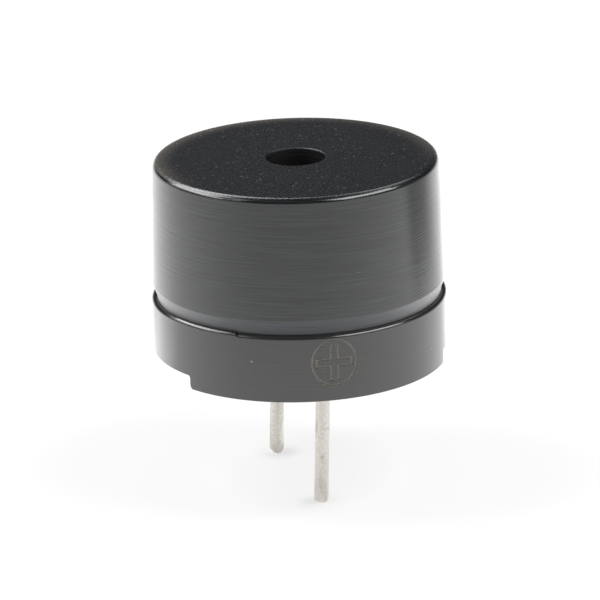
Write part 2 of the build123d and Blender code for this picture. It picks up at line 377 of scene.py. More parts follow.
def finish_piece(piece, node):
    """Smooth a piece, bring it to metres, and put it in the place of its CAD node."""
    sharp_edge = radians(35)
    select_only(piece)
    bpy.ops.object.shade_smooth_by_angle(angle=sharp_edge)
    apply_modifier(piece, "WEIGHTED_NORMAL", mode="FACE_AREA", weight=50, keep_sharp=True)
    piece.scale = (MM, MM, MM)
    bpy.ops.object.transform_apply(location=True, rotation=True, scale=True)
    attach(piece, "root")
    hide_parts(node)


# ---------------------------------------------------------------------------------------------
# Building materials. Noise lies mostly between 0.3 and 0.7, so the ramps on it start and end there.
# ---------------------------------------------------------------------------------------------


class Tree:
    """A node tree, with short ways to add nodes and join them."""

    def __init__(self, tree):
        self.tree = tree

    def fill(self, socket, value):
        """Give a socket a value, a colour or another node's output."""
        if isinstance(value, NodeSocket):
            self.tree.links.new(value, socket)
        elif socket.type == "RGBA":
            socket.default_value = (*value, 1.0)
        else:
            socket.default_value = value

    def place(self, kind, inputs=None, **options):
        """Add a node, set its options and fill its inputs."""
        node = self.tree.nodes.new("ShaderNode" + kind)
        for option, value in options.items():
            setattr(node, option, value)
        for name, value in (inputs or {}).items():
            self.fill(node.inputs[name], value)
        return node

    def maths(self, operation, first, second=0.0, clamp=False):
        """The result of a Math node."""
        node = self.place("Math", {0: first, 1: second}, operation=operation, use_clamp=clamp)
        return node.outputs[0]

    def plus(self, first, *others):
        """The sum of some values."""
        for other in others:
            first = self.maths("ADD", first, other)
        return first

    def times(self, first, *others):
        """The product of some values."""
        for other in others:
            first = self.maths("MULTIPLY", first, other)
        return first

    def vector(self, operation, first, second=(0.0, 0.0, 0.0)):
        """The result of a Vector Math node."""
        node = self.place("VectorMath", {0: first, 1: second}, operation=operation)
        return node.outputs["Value" if operation == "DISTANCE" else "Vector"]

    def axes(self, vector):
        """The three parts of a vector."""
        return self.place("SeparateXYZ", {0: vector}).outputs

    def ramp(self, value, low, high, to_low=0.0, to_high=1.0):
        """A value brought smoothly from one range to another, and held at its ends."""
        inputs = {"Value": value, "From Min": low, "From Max": high, "To Min": to_low, "To Max": to_high}
        return self.place("MapRange", inputs, interpolation_type="SMOOTHSTEP").outputs["Result"]

    def mix(self, share, first, second):
        """A mix of two values."""
        return self.place("Mix", {0: share, 2: first, 3: second}, data_type="FLOAT").outputs[0]

    def blend(self, share, first, second):
        """A mix of two colours."""
        return self.place("Mix", {0: share, 6: first, 7: second}, data_type="RGBA").outputs[2]

    def noise(self, vector, scale, detail=2.0, roughness=0.5):
        """Noise, from 0 to 1."""
        inputs = {"Vector": vector, "Scale": scale, "Detail": detail, "Roughness": roughness}
        return self.place("TexNoise", inputs).outputs["Fac"]

    def use(self, group, **values):
        """Place a node group with its own values."""
        inputs = {name.capitalize(): value for name, value in values.items()}
        return self.place("Group", inputs, node_tree=bpy.data.node_groups[group]).outputs

    def grain(self, spacing, roughness=0.6):
        """Height of fine even grain."""
        return self.use("Grain", spacing=spacing, roughness=roughness)["Height"]

    def specks(self, spacing, size, share):
        """Mask of specks strewn about."""
        return self.use("Specks", spacing=spacing, size=size, share=share)["Mask"]

    def streaks(self, length, width, tilt=0.0):
        """Height of long fine lines round the body."""
        return self.use("Streaks", length=length, width=width, tilt=tilt)["Height"]


class Group(Tree):
    """A new node group, with its inputs and their defaults, and its outputs and their kinds."""

    def __init__(self, name, outputs, **inputs):
        super().__init__(bpy.data.node_groups.new(name, "ShaderNodeTree"))
        sockets = self.tree.interface
        for label, default in inputs.items():
            socket = sockets.new_socket(
                label.capitalize(), in_out="INPUT", socket_type="NodeSocketFloat"
            )
            socket.default_value = default
        for label, kind in outputs.items():
            sockets.new_socket(label, in_out="OUTPUT", socket_type="NodeSocket" + kind)
        self.starts = self.tree.nodes.new("NodeGroupInput").outputs
        self.ends = self.tree.nodes.new("NodeGroupOutput").inputs


class Skin(Tree):
    """The node tree of a new material, round its Principled BSDF."""

    def __init__(self, name):
        material = bpy.data.materials.new(name)
        material.use_nodes = True
        super().__init__(material.node_tree)
        self.shader = self.tree.nodes["Principled BSDF"]

    def give(self, inputs):
        """Give the shader its inputs."""
        for name, value in inputs.items():
            self.fill(self.shader.inputs[name], value)

    def bump(self, *layers):
        """Raise the surface by layers, each a pattern and its height in millimetres, the lowest first."""
        normal = None
        for pattern, height in layers:
            node = self.place("Bump", {"Height": pattern, "Distance": height * MM})
            if normal:
                self.fill(node.inputs["Normal"], normal)
            normal = node.outputs["Normal"]
        self.give({"Normal": normal})


def shaded(colour_parts, share):
    """A colour made lighter or darker."""
    return tuple(part * share for part in colour_parts)


def build_where_group():
    """Where a point lies: its place in millimetres, its distance from Z and its height."""
    group = Group("Where", {"Place": "Vector", "Out": "Float", "Up": "Float"})
    metres = group.place("TexCoord").outputs["Object"]
    spot = group.vector("MULTIPLY", metres, (1 / MM, 1 / MM, 1 / MM))
    axes = group.axes(spot)
    squares = group.plus(group.times(axes[0], axes[0]), group.times(axes[1], axes[1]))
    group.fill(group.ends["Place"], spot)
    group.fill(group.ends["Out"], group.maths("SQRT", squares))
    group.fill(group.ends["Up"], axes[2])


def build_grain_group():
    """Fine even grain, as spark erosion leaves in a mould."""
    group = Group("Grain", {"Height": "Float"}, spacing=0.1, roughness=0.6)
    spot = group.use("Where")["Place"]
    scale = group.maths("DIVIDE", 1.0, group.starts["Spacing"])
    grain = group.noise(spot, scale, detail=3.0, roughness=group.starts["Roughness"])
    group.fill(group.ends["Height"], grain)


def build_speck_group():
    """Specks strewn about: one in a few cells of a grid holds a small round speck."""
    group = Group("Specks", {"Mask": "Float"}, spacing=0.5, size=0.03, share=0.3)
    spacing, size = group.starts["Spacing"], group.starts["Size"]
    inputs = {
        "Vector": group.use("Where")["Place"],
        "Scale": group.maths("DIVIDE", 1.0, spacing),
        "Randomness": 1.0,
    }
    cells = group.place("TexVoronoi", inputs, feature="F1").outputs
    chance = group.place("SeparateColor", {0: cells["Color"]}).outputs
    held = group.maths("LESS_THAN", chance[0], group.starts["Share"])
    reach = group.times(group.maths("DIVIDE", size, spacing), chance[1])
    near = group.ramp(group.maths("DIVIDE", cells["Distance"], reach), 1.0, 0.6)
    group.fill(group.ends["Mask"], group.times(held, near))


def build_streak_group():
    """Long fine lines round the body, as the mould's turned wall leaves, tilted a little if wanted."""
    group = Group("Streaks", {"Height": "Float"}, length=4.0, width=0.06, tilt=0.0)
    along, across = group.starts["Length"], group.starts["Width"]
    axes = group.axes(group.use("Where")["Place"])
    lifted = group.plus(axes[2], group.times(group.starts["Tilt"], axes[0]))
    stretched = {
        0: group.maths("DIVIDE", axes[0], along),
        1: group.maths("DIVIDE", axes[1], along),
        2: group.maths("DIVIDE", lifted, across),
    }
    lines = group.noise(group.place("CombineXYZ", stretched).outputs[0], 1.0)
    group.fill(group.ends["Height"], lines)


def moulded_side(name, plastic, dust, roughness, drawn=3.0, shine=0.5, bloom=0.0, scratch=0.006):
    """Polished moulded plastic: faint lines round it, drag marks, haze, dust and, if wanted, a painted sheen
    that whitens it edge-on and near the cap's foot.
    """
    skin = Skin(name)
    where = skin.use("Where")
    grain = skin.grain(spacing=0.12)
    lines = skin.streaks(length=4.0, width=0.06)
    drags = skin.streaks(length=2.2, width=0.045, tilt=0.03)
    specks = skin.specks(spacing=0.7, size=0.05, share=0.2)
    smear = skin.ramp(skin.noise(where["Place"], 0.5, detail=3.0), 0.35, 0.7)
    shade = skin.blend(skin.ramp(drags, 0.35, 0.72), plastic, shaded(plastic, drawn))
    shade = skin.blend(specks, shade, dust)
    if bloom:
        # Painted sheen: the colour is whitened where the surface is seen edge-on, and painted light
        # brightens the bevel low down by the foot, where the rim shades it.
        edge_on = skin.place("LayerWeight", {"Blend": 0.5}).outputs["Facing"]
        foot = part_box("case_cap")[0].z / MM
        low_glow = skin.ramp(where["Up"], foot + 0.35, foot + 0.05, 0.0, bloom / 9)
        satin_sheen = skin.plus(skin.times(edge_on, edge_on, bloom), low_glow)
        shade = skin.blend(satin_sheen, shade, (1.0, 1.0, 1.0))
    polish = skin.plus(roughness, skin.times(smear, 0.05))
    polish = skin.maths("ADD", polish, skin.times(specks, 0.3), clamp=True)
    skin.give({"Base Color": shade, "Roughness": polish, "IOR": 1.54, "Specular IOR Level": shine})
    skin.bump((lines, scratch), (drags, 0.0015), (grain, 0.0016), (specks, 0.01))


def eroded_top(name, plastic, off_tone, dust):
    """Matt top with a fine spark-eroded grain and a few glints, and a painted sheen that makes it paler
    along its far edge.
    """
    skin = Skin(name)
    where = skin.use("Where")
    grain = skin.grain(spacing=0.12)
    glints = skin.specks(spacing=0.2, size=0.07, share=0.3)
    specks = skin.specks(spacing=1.1, size=0.05, share=0.3)
    # The glints are raised by the bump and also painted a little paler in the colour: painted highlights.
    pale = skin.maths("MAXIMUM", skin.times(glints, 0.05), specks)
    pale = skin.maths("MAXIMUM", pale, skin.ramp(grain, 0.45, 0.7, 0.0, 0.024))
    axes = skin.axes(where["Place"])
    # Painted sheen: the colour turns paler towards the top's far edge, over the far half and more towards
    # the far left.
    edge_starts, edge_ends = 4.5, 5.9
    edge = skin.ramp(where["Out"], edge_starts, edge_ends)
    far_half = skin.ramp(axes[1], -3.0, 0.5, 0.0, 0.6)
    leftwards = skin.maths("SUBTRACT", axes[1], skin.times(axes[0], 0.4))
    far_left = skin.ramp(leftwards, 3.2, 6.1, 0.0, 0.3)
    sheened = skin.times(skin.times(edge, edge), skin.plus(far_half, far_left))
    shade = skin.blend(sheened, skin.blend(pale, plastic, dust), off_tone)
    skin.give({"Base Color": shade, "Roughness": skin.ramp(grain, 0.35, 0.65, 0.3, 0.2), "IOR": 1.45})
    skin.bump((grain, 0.01), (glints, 0.015))


def charred_line(name, pale, plastic):
    """Laser-marked plastic: pale, rough and pitted."""
    skin = Skin(name)
    grain = skin.grain(spacing=0.05, roughness=0.7)
    pits = skin.specks(spacing=0.12, size=0.05, share=0.35)
    shade = skin.blend(skin.ramp(grain, 0.3, 0.7, 0.0, 0.25), pale, plastic)
    skin.give({"Base Color": skin.blend(skin.times(pits, 0.5), shade, plastic), "Roughness": 0.7})
    skin.bump((grain, 0.008))


def dull_tin(name, tin, stain):
    """Hot-dipped tin: soft shine, stains that run along the pin, and small dents."""
    skin = Skin(name)
    spot = skin.use("Where")["Place"]
    stretched = skin.place("Mapping", {"Vector": spot, "Scale": (3.2, 3.2, 0.55)}).outputs[0]
    runs = skin.ramp(skin.noise(stretched, 1.0, detail=4.0), 0.5, 0.72, 0.0, 0.6)
    blots = skin.ramp(skin.noise(spot, 2.6, detail=4.0), 0.58, 0.72, 0.0, 0.7)
    stained = skin.maths("MAXIMUM", runs, blots)
    speckle = skin.ramp(skin.grain(spacing=0.09, roughness=0.7), 0.35, 0.7, 0.0, 0.6)
    shade = skin.blend(skin.times(stained, 0.6), skin.blend(speckle, tin, stain), stain)
    polish = skin.ramp(stained, 0.0, 0.7, 0.33, 0.52)
    skin.give({"Base Color": shade, "Roughness": polish, "Metallic": 1.0})
    skin.bump((skin.noise(stretched, 1.4, detail=1.0), 0.02), (skin.grain(spacing=0.07), 0.004))


def cast_resin(name, resin, dust):
    """Poured resin: glossy, a little uneven, with small craters and dust."""
    skin = Skin(name)
    craters = skin.specks(spacing=0.9, size=0.11, share=0.25)
    specks = skin.specks(spacing=0.6, size=0.05, share=0.2)
    flow = skin.noise(skin.use("Where")["Place"], 0.9)
    polish = skin.ramp(flow, 0.35, 0.7, 0.12, 0.24)
    skin.give({"Base Color": skin.blend(specks, resin, dust), "Roughness": polish, "IOR": 1.55})
    skin.bump((flow, 0.06), (craters, -0.03))


def metal(name, shade, roughness, grain_spacing, grain_depth, turned=False):
    """Bare metal with fine grain, turned lines if wanted, and patches of tarnish."""
    skin = Skin(name)
    where = skin.use("Where")
    patches = skin.noise(where["Place"], 1.3, detail=4.0)
    tarnished = skin.blend(skin.ramp(patches, 0.4, 0.75, 0.0, 0.45), shade, shaded(shade, 0.55))
    polish = skin.ramp(patches, 0.3, 0.8, roughness, roughness + 0.15)
    skin.give({"Base Color": tarnished, "Roughness": polish, "Metallic": 1.0})
    layers = [(skin.grain(spacing=grain_spacing), grain_depth)]
    if turned:
        rings = skin.place("TexNoise", {"W": where["Out"], "Scale": 14.0}, noise_dimensions="1D")
        layers.insert(0, (rings.outputs["Fac"], 0.004))
    skin.bump(*layers)


def glass_fibre_board(name, resist):
    """Circuit board: green resist over a woven cloth."""
    skin = Skin(name)
    threads = 14.0
    axes = skin.axes(skin.use("Where")["Place"])
    warp, weft = (skin.maths("SINE", skin.times(axes[side], threads)) for side in (0, 1))
    weave = skin.ramp(skin.times(warp, weft), -1.0, 1.0)
    skin.give({"Base Color": skin.blend(weave, resist, shaded(resist, 1.5)), "Roughness": 0.35})
    skin.bump((weave, 0.006), (skin.grain(spacing=0.2, roughness=0.5), 0.004))


def wound_wire(name, copper):
    """Enamelled wire laid turn on turn."""
    skin = Skin(name)
    where = skin.use("Where")
    wire_pitch = 0.085
    turn, layer = (skin.maths("SINE", skin.times(where[way], 2 * pi / wire_pitch)) for way in ("Up", "Out"))
    turns = skin.ramp(skin.times(turn, layer), -1.0, 1.0)
    off_tone = skin.ramp(skin.grain(spacing=0.5), 0.35, 0.7, 0.0, 0.5)
    shade = skin.blend(off_tone, copper, shaded(copper, 0.6))
    skin.give({"Base Color": shade, "Metallic": 0.85, "Roughness": 0.3})
    skin.bump((turns, 0.02))


def sintered_magnet(name, dark):
    """Pressed and ground magnet: matt, with small pores."""
    skin = Skin(name)
    pores = skin.specks(spacing=0.25, size=0.06, share=0.3)
    grain = skin.grain(spacing=0.1, roughness=0.65)
    shade = skin.blend(skin.ramp(grain, 0.35, 0.7), dark, shaded(dark, 1.7))
    polish = skin.ramp(grain, 0.3, 0.7, 0.5, 0.7)
    skin.give({"Base Color": shade, "Roughness": polish, "Metallic": 0.2})
    skin.bump((grain, 0.008), (pores, -0.015))


# ---------------------------------------------------------------------------------------------
# Operators: one for each piece or group of pieces, and one for the studio
# ---------------------------------------------------------------------------------------------


class SPEAKER_OT_mix_finishes(Operator):
    """Build the shared effects and every material of the speaker"""

    bl_idname = "speaker.mix_finishes"
    bl_label = "Mix the finishes"

    def execute(self, context):
        tone = read_settings(context.scene.speaker_finishes)
        build_where_group()
        build_grain_group()
        build_speck_group()
        build_streak_group()
        side = partial(moulded_side, dust=tone.dust)
        side("cap_side", tone.cap_plastic, roughness=0.14)
        # The bevel gets a painted sheen: its colour is whitened edge-on and near the foot.
        side("cap_bevel", tone.bevel_plastic, roughness=0.5, shine=0.36, bloom=0.36)
        side("cap_hole", tone.hole_plastic, roughness=0.5, shine=0.08)
        side("ring_side", tone.ring_plastic, roughness=0.16, drawn=1.25, scratch=0.003)
        eroded_top("cap_top", tone.top_plastic, tone.far_edge_sheen, tone.dust)
        charred_line("laser_mark", tone.laser_mark, tone.ring_plastic)
        dull_tin("tinned_pin", tone.tin, tone.stain)
        cast_resin("cast_resin", tone.resin, tone.dust)
        glass_fibre_board("board_resist", tone.board)
        metal("bright_solder", tone.solder, 0.22, grain_spacing=0.3, grain_depth=0.01)
        metal("plated_steel", tone.steel, 0.3, grain_spacing=0.08, grain_depth=0.003)
        metal("spring_steel", tone.steel, 0.22, grain_spacing=0.1, grain_depth=0.002, turned=True)
        metal("turned_iron", tone.iron, 0.38, grain_spacing=0.08, grain_depth=0.004, turned=True)
        wound_wire("wound_copper", tone.copper)
        sintered_magnet("sintered_magnet", tone.magnet)
        return {"FINISHED"}


class SPEAKER_OT_model_cap(Operator):
    """Model the cap: a drafted cup with a bevelled foot, a rounded crown and the sound hole"""

    bl_idname = "speaker.model_cap"
    bl_label = "Model the cap"

    def execute(self, context):
        size = read_settings(context.scene.speaker_cap)
        steps = context.scene.speaker_steps
        low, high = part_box("case_cap")
        foot, top, radius = low.z / MM, high.z / MM, high.x / MM
        skirt_top = foot + size.skirt_height
        bevel_top = foot + size.bevel_height
        crown_radius = radius - (top - bevel_top) * tan(size.draft)
        roof_radius = size.bore - (size.roof_underside - size.collar_top) * tan(size.draft)
        profile = [
            (size.bore, foot),
            (size.foot_radius, foot),
            (size.foot_radius, skirt_top),
            (radius, bevel_top),
            (crown_radius, top),
            (size.hole_radius, top),
            (size.hole_radius, size.roof_underside),
            (roof_radius, size.roof_underside),
            (size.bore, size.collar_top),
        ]
        piece = turn_profile("cap", steps.body, profile)
        round_ring(piece, crown_radius, top, size.crown_round, steps.bevel)
        round_ring(piece, size.hole_radius, top, size.hole_round, 3)
        round_ring(piece, radius, bevel_top, size.edge_round, 3)
        round_ring(piece, size.foot_radius, skirt_top, size.skirt_height * 0.4, 3)
        round_ring(piece, size.foot_radius, foot, size.edge_round / 3, 2)
        round_ring(piece, roof_radius, size.roof_underside, size.roof_corner, 5)
        select_only()
        give_materials(piece, "cap_side", "cap_top", "cap_bevel", "cap_hole")
        hole_edge = size.hole_radius + size.hole_round / 2
        for face in piece.data.polygons:
            height, reach = face.center.z, out(face.center)
            if height > top - size.crown_round / 3 and reach > hole_edge:
                face.material_index = 1
            elif height < bevel_top and reach > size.foot_radius - TOUCH:
                face.material_index = 2
            elif reach < hole_edge:
                face.material_index = 3
        finish_piece(piece, "case_cap")
        return {"FINISHED"}


class SPEAKER_OT_model_base_ring(Operator):
    """Model the base ring on its two lands, with its inner steps, its collar and the nick in its rim"""

    bl_idname = "speaker.model_base_ring"
    bl_label = "Model the base ring"

    def execute(self, context):
        size = read_settings(context.scene.speaker_ring)
        steps = context.scene.speaker_steps
        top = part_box("base_housing")[1].z / MM
        profile = [
            (size.recess_radius, size.land_height),
            (size.roof_radius, size.land_height),
            (size.rim_radius, size.rim_height),
            (size.collar_radius, size.rim_height),
            (size.collar_radius, top),
            (size.seat_radius, top),
            (size.seat_radius, size.seat_height),
            (size.motor_bore, size.seat_height),
            (size.motor_bore, size.recess_top),
            (size.recess_radius, size.recess_top),
        ]
        piece = turn_profile("base_ring", steps.body, profile)
        round_ring(piece, size.rim_radius, size.rim_height, size.rim_round, steps.bevel)
        round_ring(piece, size.collar_radius, top, size.collar_lead_in, 1)
        self.draw_lands(piece, size)
        self.round_lands(piece, size)
        self.raise_lip(piece, size)
        select_only()
        give_materials(piece, "ring_side")
        self.cut_nick(piece, size)
        return {"FINISHED"}

    def draw_lands(self, piece, size):
        """Draw the two lands down from the ring's underside to the circuit board."""

        def on_land(face):
            middle = face.calc_center_median()
            turn = abs((atan2(middle.y, middle.x) - size.gap_centre + pi / 2) % pi - pi / 2)
            return abs(middle.z - size.land_height) < TOUCH and turn > size.gap_half_angle

        def at_foot(vert):
            return vert.co.z < TOUCH and out(vert.co) > size.recess_radius + TOUCH

        select_where(piece, "faces", on_land)
        extrude((0, 0, -size.land_height))
        select_where(piece, "verts", at_foot)
        shrink = size.foot_radius / size.roof_radius
        bpy.ops.transform.resize(value=(shrink, shrink, 1), center_override=(0, 0, 0))

    def round_lands(self, piece, size):
        """Round the lands' ends, and then the outer edge all the way round."""

        def across(edge, height):
            radii = sorted(out(end.co) for end in edge.verts)
            is_level = all(abs(end.co.z - height) < TOUCH for end in edge.verts)
            return is_level and sharper(edge, 60) and radii[1] - radii[0] > size.recess_radius / 10

        def outer_edge(edge):
            outside = all(out(end.co) > size.foot_radius - TOUCH for end in edge.verts)
            low = all(end.co.z < size.land_height + TOUCH for end in edge.verts)
            return outside and low and sharper(edge, 40)

        select_where(piece, "edges", lambda edge: across(edge, 0))
        bpy.ops.mesh.bevel(offset=size.land_corner, segments=6, affect="EDGES")
        select_where(piece, "edges", lambda edge: across(edge, size.land_height))
        bpy.ops.mesh.bevel(offset=size.land_heel, segments=4, affect="EDGES")
        select_where(piece, "edges", outer_edge)
        bpy.ops.mesh.bevel(offset=size.foot_round, segments=4, affect="EDGES")

    def raise_lip(self, piece, size):
        """Raise the rim a little over a stretch that starts gently and ends at the nick."""
        edge_radius = size.rim_radius - size.rim_round
        edge_height = size.rim_height - size.rim_round
        lifts = 6
        for lift in range(lifts):
            start = 2 * pi - size.lip_angle + size.lip_run * lift / lifts

            def on_lip(vert):
                turn = (atan2(vert.co.y, vert.co.x) - size.nick_angle) % (2 * pi)
                outside = out(vert.co) > edge_radius - TOUCH
                return turn > start and outside and vert.co.z > edge_height - TOUCH

            select_where(piece, "verts", on_lip)
            bpy.ops.transform.translate(value=(0, 0, size.lip_height / lifts))

    def cut_nick(self, piece, size):
        """Cut the nick across the rim."""
        outward = Vector((cos(size.nick_angle), sin(size.nick_angle), 0))
        bpy.ops.mesh.primitive_cylinder_add(
            vertices=24,
            radius=size.nick_radius,
            depth=2 * size.rim_round,
            location=outward * size.rim_radius + Vector((0, 0, size.rim_height)),
            rotation=(pi / 2, 0, size.nick_angle + pi / 2),
        )
        cutter = bpy.context.object
        give_materials(cutter, "ring_side")
        cut_or_join(piece, cutter, "DIFFERENCE")


class SPEAKER_OT_engrave_polarity_mark(Operator):
    """Engrave the plus in its oval on the ring, by the positive pin, and finish the ring"""

    bl_idname = "speaker.engrave_polarity_mark"
    bl_label = "Engrave the polarity mark"

    def execute(self, context):
        size = read_settings(context.scene.speaker_mark)
        ring = bpy.data.objects["base_ring"]
        outside = 7.0  # Farther from Z than the ring's wall, so that the mark is laid on it from outside.
        mark = self.draw_oval(size)
        select_only(self.draw_plus(size), mark)
        bpy.ops.object.join()
        mark.rotation_euler = (pi / 2, 0, size.direction + pi / 2)
        outward = Vector((cos(size.direction), sin(size.direction), 0))
        mark.location = outward * outside + Vector((0, 0, size.height))
        bpy.ops.object.transform_apply(location=True, rotation=True, scale=True)
        self.wrap(mark, ring, size)
        give_materials(mark, "laser_mark")
        cut_or_join(ring, mark, "DIFFERENCE")
        finish_piece(ring, "base_housing")
        return {"FINISHED"}

    def draw_oval(self, size):
        """Draw the oval's line, flat."""
        select_only()
        bpy.ops.mesh.primitive_circle_add(vertices=96, radius=1.0, enter_editmode=True)
        oval = bpy.context.object
        half = size.line_width / 2
        outer = Vector((size.half_width + half, size.half_height + half))
        bpy.ops.transform.resize(value=(*outer, 1))
        bpy.ops.mesh.extrude_region_move()
        inward = ((size.half_width - half) / outer.x, (size.half_height - half) / outer.y)
        bpy.ops.transform.resize(value=(*inward, 1))
        return oval

    def draw_plus(self, size):
        """Draw the plus's outline, flat."""
        select_only()
        outer = size.arm_width + size.line_width
        bpy.ops.mesh.primitive_plane_add(size=outer, enter_editmode=True)
        plus = bpy.context.object
        reach = size.arm_length + size.line_width / 2 - outer / 2
        for side in (Vector((1, 0, 0)), Vector((-1, 0, 0)), Vector((0, 1, 0)), Vector((0, -1, 0))):

            def on_side(edge):
                ends = [end.co for end in edge.verts]
                along = all(abs(end.dot(side) - outer / 2) < TOUCH for end in ends)
                return along and abs(sum(ends, Vector()).length - outer) < TOUCH

            select_where(plus, "edges", on_side)
            extrude(side * reach)
        bpy.ops.mesh.select_mode(type="FACE")
        face_outwards()
        bpy.ops.mesh.inset(thickness=size.line_width, use_even_offset=True)
        bpy.ops.mesh.delete(type="FACE")
        bpy.ops.mesh.select_all(action="SELECT")
        bpy.ops.mesh.subdivide(number_cuts=3)
        return plus

    def wrap(self, mark, ring, size):
        """Lay the flat mark on the ring's wall and give it thickness, part of it into the wall."""
        clearance = 0.05
        apply_modifier(
            mark,
            "SHRINKWRAP",
            target=ring,
            wrap_method="PROJECT",
            use_project_x=False,
            use_project_y=True,
            use_project_z=False,
            use_positive_direction=True,
            use_negative_direction=False,
        )
        bpy.ops.object.mode_set(mode="EDIT")
        face_outwards()
        bpy.ops.object.mode_set(mode="OBJECT")
        apply_modifier(mark, "SOLIDIFY", thickness=2 * (clearance + size.depth), offset=0.0)


class SPEAKER_OT_model_pins(Operator):
    """Model the two pins: the positive one blunt, the negative one pinched off"""

    bl_idname = "speaker.model_pins"
    bl_label = "Model the pins"

    def execute(self, context):
        size = read_settings(context.scene.speaker_pins)
        for name, node, side, reach, shape_end in (
            ("pin_plus", "pin_positive", -1, size.positive_reach, self.blunt_end),
            ("pin_minus", "pin_negative", 1, size.negative_reach, self.pinch_end),
        ):
            piece = start_ring(name, context.scene.speaker_steps.pin, size.radius, size.top, fill="NGON")
            tip, down = self.draw_pin(side * size.offset, reach, size)
            shape_end(piece, tip, down, size)
            select_only()
            give_materials(piece, "tinned_pin")
            finish_piece(piece, node)
        return {"FINISHED"}

    def draw_pin(self, pin_y, reach, size):
        """Draw a straight shank, a slight bend and the leaning rest of the pin."""
        bpy.ops.transform.translate(value=(0, pin_y, 0))
        extrude((0, 0, size.bend_start - size.top))
        middle = Vector((-size.bend_radius, pin_y, size.bend_start))
        bpy.ops.mesh.spin(steps=3, angle=-size.lean, center=middle, axis=(0, 1, 0))
        down = Vector((-sin(size.lean), 0, -cos(size.lean)))
        bend_end = middle + Vector((cos(size.lean), 0, -sin(size.lean))) * size.bend_radius
        run = down * ((bend_end.z + reach) / cos(size.lean))
        extrude(run)
        face_outwards()
        return bend_end + run, down

    def blunt_end(self, piece, tip, down, size):
        """Round the end."""

        def at_end(edge):
            return all(abs((end.co - tip).dot(down)) < TOUCH for end in edge.verts)

        select_where(piece, "edges", at_end)
        bpy.ops.mesh.bevel(offset=size.end_round, segments=6, affect="EDGES")

    def pinch_end(self, piece, tip, down, size):
        """Cut the end to a blunt wedge, and soften the cuts."""
        across = down.cross(Vector((0, 1, 0)))
        for side in (-1, 1):
            bpy.ops.mesh.select_all(action="SELECT")
            bpy.ops.mesh.bisect(
                plane_co=tip + across * (side * size.pinch_land / 2),
                plane_no=across * (side * cos(size.pinch_angle)) + down * sin(size.pinch_angle),
                use_fill=True,
                clear_outer=True,
                threshold=TOUCH / 40,
            )

        def cut_edge(edge):
            return sharper(edge, 25) and all((end.co - tip).length < 2 * size.radius for end in edge.verts)

        select_where(piece, "edges", cut_edge)
        bpy.ops.mesh.bevel(offset=size.pinch_land / 8, segments=3, affect="EDGES")


class SPEAKER_OT_pour_resin(Operator):
    """Model the resin under the circuit board, which creeps down the ring's wall and the pins"""

    bl_idname = "speaker.pour_resin"
    bl_label = "Pour the resin"

    def execute(self, context):
        size = read_settings(context.scene.speaker_resin)
        pins = read_settings(context.scene.speaker_pins)
        edge = read_settings(context.scene.speaker_ring).recess_radius
        steps = context.scene.speaker_steps
        piece = start_ring("resin", steps.body, edge, size.back, fill="NGON")
        creep = self.creep(edge, -size.wall_reach, size.surface, size.wall_climb, steps.bevel)
        draw_wall([(edge, size.back), *creep])
        face_outwards()
        give_materials(piece, "cast_resin")
        cut_or_join(piece, self.draw_skirts(size, pins, steps), "UNION")
        cut_or_join(piece, self.draw_pin_holes(size, pins, steps), "DIFFERENCE")
        finish_piece(piece, "sealing_resin")
        return {"FINISHED"}

    def creep(self, wall, reach, surface, climb, steps):
        """The curve, as (radius, height), from where the resin ends on a wall to its level face."""
        turns = [pi / 2 * step / steps for step in range(steps + 1)]
        return [(wall + reach * (1 - cos(turn)), surface - climb * (1 - sin(turn))) for turn in turns]

    def draw_skirts(self, size, pins, steps):
        """Draw the two cones of resin that creep down the pins."""
        inside = (size.surface + size.back) / 2
        creep = self.creep(pins.radius, size.pin_reach, size.surface, size.pin_climb, steps.bevel)
        skirt = start_ring("skirts", steps.pin, *creep[0], fill="NGON")
        draw_wall([*creep, (pins.radius + size.pin_reach, inside)])
        return self.one_at_each_pin(skirt, pins)

    def draw_pin_holes(self, size, pins, steps):
        """Draw the two rods that leave the holes for the pins."""
        rod = start_ring("rods", steps.pin, pins.radius, 0, fill="NGON")
        extrude((0, 0, 2 * size.back))
        return self.one_at_each_pin(rod, pins)

    def one_at_each_pin(self, piece, pins):
        """Move what is in edit mode to one pin and copy it to the other."""
        face_outwards()
        bpy.ops.transform.translate(value=(0, -pins.offset, 0))
        bpy.ops.mesh.duplicate_move(TRANSFORM_OT_translate={"value": (0, 2 * pins.offset, 0)})
        return piece


class SPEAKER_OT_finish_inner_pieces(Operator):
    """Give the pieces inside the speaker their finishes"""

    bl_idname = "speaker.finish_inner_pieces"
    bl_label = "Finish the inner pieces"

    def execute(self, context):
        finishes = {
            "circuit_board": "board_resist",
            "solder_positive": "bright_solder",
            "solder_negative": "bright_solder",
            "yoke_plate": "plated_steel",
            "pole_core": "turned_iron",
            "coil_winding": "wound_copper",
            "ring_magnet": "sintered_magnet",
            "diaphragm": "spring_steel",
            "armature_disc": "turned_iron",
        }
        for node, finish in finishes.items():
            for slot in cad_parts[node].material_slots:
                slot.material = bpy.data.materials[finish]
        return {"FINISHED"}


